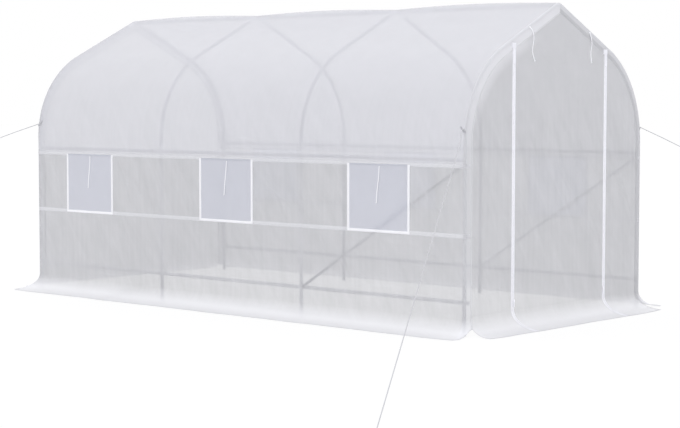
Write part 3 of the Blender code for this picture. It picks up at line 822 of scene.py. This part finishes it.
def mark_painted_rim_light(gable):
    """Marks how near the film is to the band on the near shoulder, for painted light: there the film takes a
    lighter tone that fades into the band, standing in for the light that falls on that side.
    """
    mesh = gable.data
    places = np.zeros(3 * len(mesh.vertices))
    mesh.vertices.foreach_get("co", places)
    y, z = places.reshape(-1, 3)[:, 1:].T
    under_rafter = (edge_height(y) - z) * math.cos(RAFTER_PITCH)
    in_bend = GABLE_RADIUS - np.hypot(y + SHOULDER_CENTRE, z - SHOULDER_HEIGHT)
    inside = np.where(-y < RAFTER_FOOT_Y, under_rafter, in_bend)
    inside = np.where(z < SHOULDER_HEIGHT, y + GABLE_LIMIT, inside)
    share = np.clip(1 - inside / PAINTED_RIM_LIGHT_REACH, 0, 1) * (y < 0)
    share = share * smooth(z, 1.15, 1.5) * (1 - smooth(z, 1.72, 1.86))
    mesh.attributes.new("rim", "FLOAT", "POINT").data.foreach_set("value", share.astype(np.float32))


def gable_columns(low, high):
    """Places across a gable, closer together where its edge is steep."""
    turns = even(0, math.pi / 2 - RAFTER_PITCH, FILM_STEP / GABLE_RADIUS)
    bend = [SHOULDER_CENTRE + GABLE_RADIUS * math.cos(turn) for turn in turns]
    inner = list(even(-min(bend), min(bend), FILM_STEP))
    places = sorted(set([-y for y in bend] + inner + bend + [0.0, low, high]))
    return np.array([y for y in places if low - 1e-9 <= y <= high + 1e-9 and abs(y) <= GABLE_LIMIT + 1e-9])


def make_gables(film):
    """Both gables. The front one stands round the doorway: a panel at each side and a header."""
    beside_door = ((-GABLE_LIMIT, DOOR_EDGES[0] - UNDER_ZIP), (DOOR_EDGES[1] + UNDER_ZIP, GABLE_LIMIT))
    for label, end in ENDS:
        cloth = Cloth()
        for span in beside_door if end > 0 else [(-GABLE_LIMIT, GABLE_LIMIT)]:
            ys = gable_columns(*span)
            hanging_grid(cloth, end, ys, edge_height(ys))
        if end > 0:
            ys = gable_columns(*DOOR_EDGES)
            gable_grid(cloth, end, ys, edge_height(ys), DOOR_TOP)
        gable = cloth.make(f"gable_film_{label}", film, "root", "film")
        if end > 0:
            mark_painted_rim_light(gable)
        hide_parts(f"gable_{label}")


def make_door(film):
    """The door panel, from the line where it rolls up down to its skirt."""
    cloth = Cloth()
    hanging_grid(cloth, 1, gable_columns(DOOR_EDGES[0] + UNDER_ZIP, DOOR_EDGES[1] - UNDER_ZIP), DOOR_TOP)
    door = cloth.make("door_film", film, "door", "film")
    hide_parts("door_panel")


# Tapes, bands and hems
def strip_profile(width, lift=TAPE_LIFT):
    """Places across a tape and how far each stands off the film."""
    lip = min(0.0012, width / 6)
    across = np.array([0.0, lip, width / 2, width - lip, width]) - width / 2
    return across, np.array([0.0002, lift, lift * 1.15, lift, 0.0002])


def wall_band(name, side, height, width, paint, gaps=()):
    """A tape along a long wall at a height, left out over the gaps."""
    across, lifts = strip_profile(width)
    arcs = HALF_LENGTH + np.linspace(0, CORNER_ARC, 6)
    gap_ends = [x for gap in gaps for x in gap]
    us = between([-BAND_REACH, BAND_REACH, *arcs, *(-arcs), *HOOP_X[1:-1], *gap_ends])
    places = wall_places(side, us[:, None], height + across, lifts)
    keep = np.repeat(outside((us[1:] + us[:-1]) / 2, gaps)[:, None], len(across) - 1, 1)
    one_grid(places, us[:, None], across, side > 0, name, paint, "root", "tape", keep=keep)


def skirt_hem(label, along, places, body, paint, flip):
    """The folded edge of a skirt."""
    name = f"skirt_hem_{label}"
    one_grid(places, along[:, None], HEM_PARTS * HEM_MAP_LENGTH, flip, name, paint, body, "film")


def wall_hem(label, side, paint):
    us = between([-HALF_LENGTH - SEAM, *HOOP_X, HALF_LENGTH + SEAM])
    places = wall_skirt_places(side, us[:, None], HEM_PARTS, HEM_LIFTS)
    skirt_hem(label, us, places, "root", paint, side < 0)


def gable_hem(label, end, low, high, body, paint):
    ys = gable_columns(low, high)
    places = gable_skirt_places(end, ys[:, None], HEM_PARTS, HEM_LIFTS)
    skirt_hem(label, ys, places, body, paint, end < 0)


def zip_tape(name, low, high, heights, body, paint, parts=SKIRT_PARTS[:0], lift=ZIP_LIFT):
    """A zip's tape down the heights and then over the parts of the skirt."""
    across, lifts = strip_profile(high - low, lift)
    ys = across + (low + high) / 2
    places = np.concatenate([gable_places(1, ys, heights[:, None], lifts),
                             gable_skirt_places(1, ys, parts[:, None], lifts)])
    one_grid(places, ys, steps_along(places), True, name, paint, body, "tape")


def zip_teeth(name, centres, paint, body):
    """Small blocks of one size, as one mesh."""
    signs = np.array([(a, b, c) for a in (-1, 1) for b in (-1, 1) for c in (-1, 1)])
    quads = ((0, 1, 3, 2), (4, 6, 7, 5), (0, 4, 5, 1), (2, 3, 7, 6), (0, 2, 6, 4), (1, 5, 7, 3))
    corners = (centres[:, None] + signs * TOOTH_HALF_SIZES).reshape(-1, 3)
    faces = [tuple(8 * k + corner for corner in quad) for k in range(len(centres)) for quad in quads]
    new_piece(name, corners, faces, paint, body, "fitting", False)


def make_zips(tape, plastic):
    """Two zips: a tape and teeth on the gable's side and on the door's side, and a cap at the top."""
    heights = even(DOOR_TOP, SKIRT_TOP, FILM_STEP)
    tooth_heights = even(DOOR_TOP - 0.01, SKIRT_TOP, TOOTH_PITCH)
    for (label, way), edge in zip(SIDES, DOOR_EDGES):
        halves = (("gable", way, "root"), ("door", -way, "door"))
        for half, shift, body in halves:
            low, high = sorted((edge + shift * ZIP_GAP, edge + shift * ZIP_TAPE_WIDTH))
            zip_tape(f"zip_tape_{label}_{half}", low, high, heights, body, tape, SKIRT_PARTS[1:])
        low, high = edge - ZIP_TAPE_WIDTH, edge + ZIP_TAPE_WIDTH
        top = float(edge_height(edge)) + ZIP_RISE
        head = even(top, DOOR_TOP, FILM_STEP)
        zip_tape(f"zip_tape_{label}_head", low, high, head, "root", tape, lift=ZIP_HEAD_LIFT)
        cap = even(top - ZIP_CAP_HALF, top + ZIP_CAP_HALF, ZIP_CAP_HALF / 2)
        zip_tape(f"zip_cap_{label}", low - ZIP_CAP_OVERHANG, high, cap, "root", tape, lift=ZIP_CAP_LIFT)
        for half, shift, body in halves:
            centres = gable_places(1, edge + shift * TOOTH_SHIFT, tooth_heights, TOOTH_LIFT)
            zip_teeth(f"zip_teeth_{label}_{half}", centres, plastic, body)


# Windows
def make_nets(net):
    """Insect nets sewn behind the windows, as fine flat threads."""
    span = np.array((WINDOW_FOOT, BAND_HEIGHT))
    sides = np.array((-NET_THREAD, NET_THREAD))
    for label, side in SIDES:
        y = side * (HALF_WIDTH + FILM_OFFSET - 0.0006)
        for index, ends in enumerate(WINDOW_EDGES, start=1):
            cloth = Cloth()
            for x in np.arange(ends[0] + NET_INSET, ends[1], NET_PITCH):
                flat = joined([[x], [x + NET_THREAD]], [0.0, 0.4])
                cloth.grid(joined(x + sides[:, None], y, span), flat)
            for z in np.arange(span[0] + NET_INSET, span[1], NET_PITCH):
                flat = joined([[0.0], [0.4]], [z, z + NET_THREAD])
                cloth.grid(joined(np.array(ends)[:, None], y, z + sides), flat)
            cloth.make(f"window_net_{label}_{index}", net, "root", None, False)


def make_flaps(pane, border):
    """Window flaps: a bluish pane with a white tape down both sides and along its foot."""
    inset = WINDOW_BORDER - TAPE_OVERLAP
    zs = even(FLAP_LOW.z + inset, FLAP_HIGH.z, FILM_STEP)
    for label, side in SIDES:
        for index, (low, high) in enumerate(FLAP_SPANS, start=1):
            body = f"window_{label}_{index}"
            border_name = f"window_border_{label}_{index}"
            xs = even(low + inset, high - inset, FILM_STEP)[:, None]
            ripple = 0.00025 * (1 + np.sin(xs * 23 + index) * np.sin(zs * 17 + side))
            places = joined(xs, side * (FLAP_LOW.y + 0.0004 + ripple), zs)
            flap = one_grid(places, xs, zs, side > 0, f"window_pane_{label}_{index}", pane, body, "pane")
            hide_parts(f"window_flap_{label}_{index}")
            flap_border(border_name, side, low, high, body, border)


def flap_border(name, side, low, high, body, paint):
    """Tape sewn round a flap's two sides and foot, mitred at the corners."""
    foot, width = FLAP_LOW.z, WINDOW_BORDER
    inner, outer = FLAP_LOW.y, FLAP_HIGH.y
    insets = np.array([0.0, 0.0, 0.0008, width / 2, width - 0.0008, width])
    lifts = np.array([inner, inner + 0.0009, outer, outer + 0.0001, outer, inner + 0.0007])
    heights = even(foot + width, FLAP_HIGH.z, FILM_STEP)
    path = [(low, z, 1, 0) for z in heights[::-1]] + [(low, foot, 1, 1)]
    path += [(x, foot, 0, 1) for x in even(low + width, high - width, FILM_STEP)]
    path += [(high, foot, -1, 1)] + [(high, z, -1, 0) for z in heights]
    x, z, way_x, way_z = np.array(path).T[..., None]
    places = joined(x + way_x * insets, side * lifts, z + way_z * insets)
    one_grid(places, steps_along(path), insets, side < 0, name, paint, body, "tape")


# Cords
def resampled(places, count):
    """Evenly spaced places along a line."""
    reached = travelled(places)
    wanted = np.linspace(0, reached[-1], count)
    return np.stack([np.interp(wanted, reached, places[:, k]) for k in range(3)], -1)


def smooth_route(points, count):
    """Evenly spaced places on a smooth line through the points."""
    route = [Vector(point) for point in points]
    route = [2 * route[0] - route[1]] + route + [2 * route[-1] - route[-2]]
    fine = []
    for a, b, c, d in zip(route, route[1:], route[2:], route[3:]):
        bend = 2 * a - 5 * b + 4 * c - d
        twist = 3 * b - a - 3 * c + d
        for t in np.arange(ROUTE_STEPS) / ROUTE_STEPS:
            fine.append((2 * b + (c - a) * t + bend * t * t + twist * t ** 3) / 2)
    return resampled(np.array(fine + [route[-2]]), count)


def route_length(places):
    return float(travelled(places)[-1])


def units(vectors):
    return vectors / np.linalg.norm(vectors, axis=-1, keepdims=True)


def twisted_cord(name, places, radius, paint, body, pitch=0.014):
    """A cord of twisted strands along the places, and its middle line."""
    length = route_length(places)
    count = max(len(places), round(length / (pitch / CORD_RINGS_A_TURN)))
    line = resampled(places, count)
    tangents = units(np.gradient(line, axis=0))
    normals = [units(np.cross(tangents[0], (0.31, 0.22, 0.93)))]
    for tangent in tangents[1:]:
        normals.append(units(normals[-1] - tangent * np.dot(normals[-1], tangent)))
    normals = np.array(normals)[:, None]
    sideways = np.cross(tangents[:, None], normals)
    turn = np.linspace(0, 2 * math.pi, CORD_SIDES, endpoint=False)
    lay = turn * CORD_STRANDS - (np.linspace(0, length, count) * 2 * math.pi / pitch)[:, None]
    size = radius * (0.94 + 0.10 * np.cos(lay))[..., None]
    rings = line[:, None] + size * (normals * np.cos(turn)[:, None] + sideways * np.sin(turn)[:, None])
    start = np.arange(CORD_SIDES)
    after = np.roll(start, -1)
    squares = np.stack([start, after, after + CORD_SIDES, start + CORD_SIDES], -1)
    faces = (squares + CORD_SIDES * np.arange(count - 1)[:, None, None]).reshape(-1, 4).tolist()
    faces += [start[::-1].tolist(), (start + (count - 1) * CORD_SIDES).tolist()]
    return new_piece(name, rings.reshape(-1, 3), faces, paint, body, "cord"), line


def ring(name, place, rotation, radii, segments, *looks):
    """A ring of round section."""
    bpy.ops.mesh.primitive_torus_add(major_radius=radii[0], minor_radius=radii[1], location=place,
                                     major_segments=segments, minor_segments=8, rotation=rotation)
    return dress(bpy.context.object, name, *looks)


def knot(name, place, radius, paint, body):
    """A small overhand knot: one bulging turn of cord round the cord."""
    return ring(name, place, (0.5, 0.7, 0.2), (radius * 1.25, radius * 0.95), 14, paint, body, "cord")


def make_tie(name, node, points, count, knots, body, paint):
    """A short cord that hangs. Each knot has the end of its name, its place on the cord and its size."""
    cord, line = twisted_cord(name, smooth_route(points, count), TIE_RADIUS, paint, body)
    spots = {"head": points[0], "end": Vector(line[-1]) + Vector((0, 0, 0.004))}
    pieces = [knot(name + label, spots[spot], TIE_RADIUS * size, paint, body) for label, spot, size in knots]
    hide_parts(node)


def make_window_ties(paint):
    top = BAND_HEIGHT - TIE_TOP_GAP
    for label, side in SIDES:
        y = side * (FLAP_HIGH.y + 0.0003 + TIE_RADIUS)
        for index, centre in enumerate(WINDOW_CENTRES, start=1):
            x = centre + TIE_ASIDE
            points = [(x + TIE_SLANT * lean, y, top - TIE_DROP * drop) for lean, drop in TIE_ROUTE]
            make_tie(f"window_cord_{label}_{index}", f"window_tie_{label}_{index}", points, 30,
                     [("_knot", "end", 0.62)], f"window_{label}_{index}", paint)


def make_door_ties(paint):
    for label, route in DOOR_TIES.items():
        points = [(GABLE_FILM_X + 0.0010 + TIE_RADIUS, y, z) for y, z in route]
        make_tie(f"door_cord_{label}", f"door_tie_{label}", points, 40,
                 [("_knot", "head", 0.8), ("_end_knot", "end", 0.7)], "root", paint)


def cover_reach(z, offset=FILM_OFFSET):
    """Distance of the cover from the middle at a height on the shoulder."""
    return SHOULDER_CENTRE + np.sqrt((SHOULDER_RADIUS + offset) ** 2 - (z - SHOULDER_HEIGHT) ** 2)


def rope_lead(end, side, goal):
    """The first places of a guy rope, turning from the cover towards its goal."""
    y = side * (cover_reach(ROPE_ANCHOR_HEIGHT - ROPE_RADIUS) + 0.0008)
    places = [Vector((end * ROPE_ANCHOR_X, y, ROPE_ANCHOR_HEIGHT))]
    away = Vector((0, side, 0))
    heading = (Vector(goal) - places[0]).normalized()
    for share in (0, 0.25, 0.5, 0.75, 1):
        places.append(places[-1] + away.lerp(heading, share).normalized() * ROPE_TURN_STEP)
    return places


def rope_routes():
    """Each guy rope's end of the tunnel, side, goals and count of places."""
    descent = math.atan2(ROPE_ANCHOR_HEIGHT, PEG_PLACE.length - HALF_LENGTH)
    heading = Vector((PEG_PLACE.x - HALF_LENGTH, PEG_PLACE.y + HALF_WIDTH)).normalized()
    seat = PEG_PLACE - heading * (PEG_RADIUS + 0.0003 + ROPE_RADIUS * math.sin(descent))
    pegged = ((2.140, -1.206, 1.135), (2.562, -1.897, 0.838), (2.983, -2.588, 0.546),
              (3.405, -3.279, 0.260), (*seat, ROPE_PEG_HEIGHT))
    back = ((-2.080, -1.114, 1.180), (-2.150, -1.228, 1.131), (-2.215, -1.335, 1.085))
    far = ((2.080, 1.114, 1.165), (2.150, 1.228, 1.105), (2.222, 1.346, 1.041))
    return ("near_front", 1, -1, pegged, 400), ("near_back", -1, -1, back, 60), ("far_front", 1, 1, far, 60)


def make_ropes(paint, tab_paint, eyelet):
    for label, end, side, goals, count in rope_routes():
        lead = rope_lead(end, side, goals[0])
        places = np.concatenate([np.array(lead[:-1]), smooth_route([lead[-1], *goals], count)])
        name = f"rope_{label}"
        rope, line = twisted_cord(name, places, ROPE_RADIUS, paint, "root", pitch=0.016)
        pieces = rope_anchor(label, end, side, tab_paint, eyelet)
        pegged = label == "near_front"
        if not pegged:
            pieces.append(knot(name + "_knot", Vector(line[-3]), ROPE_RADIUS, paint, "root"))
        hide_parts(f"guy_rope_{label}")


def rope_anchor(label, end, side, tab_paint, eyelet):
    """A pressed eyelet where the guy rope comes out, and the webbing tab that it holds. The tab's dark grey
    is partly the webbing's own tone and partly painted shade of the slit the rope comes out of.
    """
    along = np.linspace(0, 1, 9)[:, None]
    across = np.array([-0.5, -0.4, 0.0, 0.4, 0.5])
    z = ROPE_ANCHOR_HEIGHT + 0.020 - 0.036 * along + 0.004 * np.sin(along * 9) + 0.012 * across
    x = end * (HALF_LENGTH - 0.034 + 0.044 * along + 0.004 * across)
    y = side * cover_reach(z, FILM_OFFSET + 0.0012 + 0.0012 * (1 - np.abs(2 * across) ** 3))
    tab = one_grid(joined(x, y, z), along * 0.07, across * 0.012, side * end > 0,
                   f"rope_tab_{label}", tab_paint, "root", "tape")
    tilt = math.asin((ROPE_ANCHOR_HEIGHT - SHOULDER_HEIGHT) / (SHOULDER_RADIUS + FILM_OFFSET))
    place = (end * ROPE_ANCHOR_X, side * (cover_reach(ROPE_ANCHOR_HEIGHT) + 0.0008), ROPE_ANCHOR_HEIGHT)
    return [ring(f"rope_eyelet_{label}", place, (-side * (math.pi / 2 - tilt), 0, 0), EYELET_RADII, 24,
                 eyelet, "root", "zinc"), tab]


# Hardware on the frame
def make_bolts(paint):
    """Hexagon heads on the inner side of each tube joint."""
    y = HALF_WIDTH - TUBE_RADIUS - BOLT_HEIGHT / 2
    places = [(x, side * y, SHOULDER_HEIGHT - drop)
              for x in HOOP_X for side in (-1, 1) for drop in BOLT_DROPS]
    for index, place in enumerate(places, start=1):
        bpy.ops.mesh.primitive_cylinder_add(vertices=6, radius=BOLT_RADIUS, depth=BOLT_HEIGHT,
                                            location=place, rotation=(math.pi / 2, 0, 0))
        dress(bpy.context.object, f"bolt_{index}", paint, "root", "zinc", False)


# Materials of what the part itself gives, by the start of the node's name
NODE_LOOKS = {
    # Lit and shaded copies of one coated tube: the lighter leg copy on the near tubes is painted light
    # against the shade the cover casts on them, and the darker steel copy paints the shade that shows the
    # other tubes as lines through the film
    "leg": ("leg_near", "bottom_rail_near", "bow_near_4"),
    "steel": ("leg_far", "bottom_rail_far", "mid_rail", "brace", "bow", "ridge"),
    "fitting": ("crown",),
    "plastic": ("zip_slider",),
    "zinc": ("ground_peg",),
}


def paint_nodes(materials):
    """Each node takes the first look that its name fits, and the cover's nodes take the film's."""
    for name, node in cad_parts.items():
        kinds = [kind for kind, starts in NODE_LOOKS.items() if name.startswith(starts)]
        node.data.materials.clear()
        node.data.materials.append(materials[kinds[0] if kinds else "film"])


def make_materials():
    seams = {"streak": 0.5, "back_share": 0.15}
    # The edge band is a doubled hem; its light tone up the hoop, fading to foot's tone beside the walls, is
    # also painted light on the top of the hoop it wraps
    edges = {"streak": 0.5, "back_share": 0.12, "foot": ((0.64, 0.64, 0.65), 0.28)}
    pane_tones = ((0.735, 0.745, 0.80), (0.755, 0.765, 0.82))
    return {
        "film": film_material("woven_film", greys(0.62, 0.69), 0.31, back_share=0.38),
        "roof": film_material("roof_film", greys(0.67, 0.70, 0.025), 0.32, back_share=0.12),
        "edge": film_material("edge_film", greys(0.74, 0.77, 0.015), 0.18, **edges),
        # Painted shade: a darker copy of the edge band, for the front gable's far half
        "dull_edge": film_material("painted_shade_edge_film", greys(0.69, 0.72), 0.18, **edges),
        # The seam is a doubled line of film whose dark tone is also painted shade in the valley beside the
        # hoop; the skirt hems use it too, in the hem's own tone
        "seam": film_material("seam_film", greys(0.57, 0.60), 0.18, skirt=HEM_TONE, **seams),
        "soft_seam": film_material("soft_seam_film", greys(0.74, 0.77), 0.26, **seams),
        "pane": film_material("window_pane", pane_tones, 0.07, 0.0016, 0.1, 0.2, 0.56),
        "band": tape_material("band_tape", greys(0.73, 0.77, 0.015), 0.18),
        "border": tape_material("border_tape", greys(0.95, 0.97), 0.0),
        "zip": tape_material("zip_tape", greys(0.86, 0.90, 0.03), 0.02, 0.0012, 0.10),
        "net": tape_material("insect_net", ((0.88, 0.89, 0.90), (0.91, 0.92, 0.93)), 0.0, back_share=0.4),
        "cord": solid_material("cord", greys(0.93, 0.97), 0.7, scale=400.0),
        "rope": solid_material("rope", greys(0.48, 0.56), 0.7, scale=400.0),
        # Partly painted shade: the dark tab also stands for the shaded slit where the rope leaves the cover
        "tab": tape_material("webbing_tab_and_painted_shade", greys(0.40, 0.46, 0.02), 0.0, 0.0016, 0.05),
        # Painted shade: the darker copy of the coated tube
        "steel": solid_material("shade_painted_coated_tube", greys(0.68, 0.73), 0.4),
        # Painted light: the lighter copy of the same coated tube, for the near tubes
        "leg": solid_material("light_painted_coated_tube", greys(0.90, 0.94), 0.4),
        "fitting": solid_material("tube_fitting", greys(0.88, 0.92), 0.36),
        "plastic": solid_material("zip_plastic", greys(0.90, 0.94, 0.03), 0.4, scale=300.0),
        "zinc": solid_material("zinc", ((0.55, 0.56, 0.57), (0.68, 0.69, 0.70)), 0.35, 0.9, scale=200.0),
    }


def build_cover(materials):
    film, band, seam = [materials[kind] for kind in ("film", "band", "seam")]
    make_roof(materials["roof"])
    for label, side in SIDES:
        make_wall(side, label, film)
        wall_hem(label, side, seam)
        wall_band(f"upper_band_{label}", side, BAND_HEIGHT, UPPER_BAND_WIDTH, band)
        wall_band(f"lower_band_{label}", side, LOWER_BAND_HEIGHT, LOWER_BAND_WIDTH, band, FLAP_SPANS)
    for label, end in ENDS:
        edge_bands(end, label, materials)
    make_gables(film)
    make_door(film)
    gable_hem("back", -1, -GABLE_LIMIT, GABLE_LIMIT, "root", seam)
    gable_hem("front_near", 1, -GABLE_LIMIT, DOOR_EDGES[0], "root", seam)
    gable_hem("front_far", 1, DOOR_EDGES[1], GABLE_LIMIT, "root", seam)
    gable_hem("door", 1, *DOOR_EDGES, "door", seam)
    make_zips(materials["zip"], materials["plastic"])
    make_nets(materials["net"])
    make_flaps(materials["pane"], materials["border"])


make_camera()
make_world()
make_floor()
make_lights()
materials = make_materials()
paint_nodes(materials)
make_window_ties(materials["cord"])
make_door_ties(materials["cord"])
make_ropes(materials["rope"], materials["tab"], materials["zinc"])
build_cover(materials)
make_bolts(materials["zinc"])

bpy.context.scene.view_settings.view_transform = "Standard"
